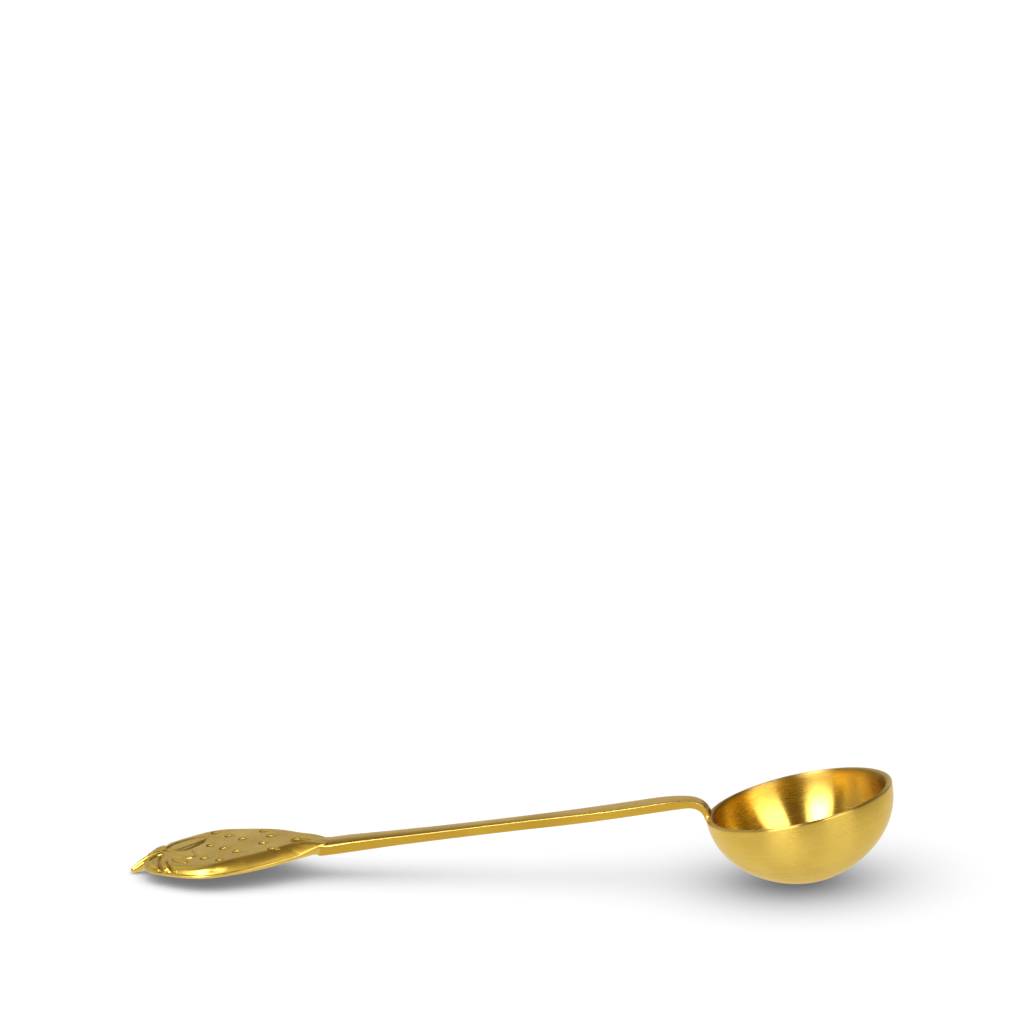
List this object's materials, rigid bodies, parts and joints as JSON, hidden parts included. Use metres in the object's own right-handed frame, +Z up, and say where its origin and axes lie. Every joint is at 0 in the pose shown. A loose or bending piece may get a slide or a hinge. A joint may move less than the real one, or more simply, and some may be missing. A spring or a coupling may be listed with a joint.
{
  "type": "bar spoon",
  "caption": "Brass bar measuring spoon: a deep round bowl on a flat strip handle with a gooseneck, and a pressed strawberry-shaped plate at the handle's end.",
  "frame": {"origin": "middle of the spoon's footprint, on the table it lies on", "axes": "+X along the handle towards the bowl, +Z up from the table, +Y across the spoon"},
  "size_m": [0.1758, 0.0434, 0.0235],
  "materials": {
    "bowl_brass": "satin brushed",
    "handle_brass": "satin",
    "plate_brass": "satin, polished on the raised edges",
    "braze_metal": "filed smooth"
  },
  "bodies": {
    "root": {"bowl": "bowl_brass", "handle": "handle_brass", "strawberry_plate": "plate_brass", "neck_braze": "braze_metal", "plate_braze": "braze_metal"}
  },
  "joints": []
}
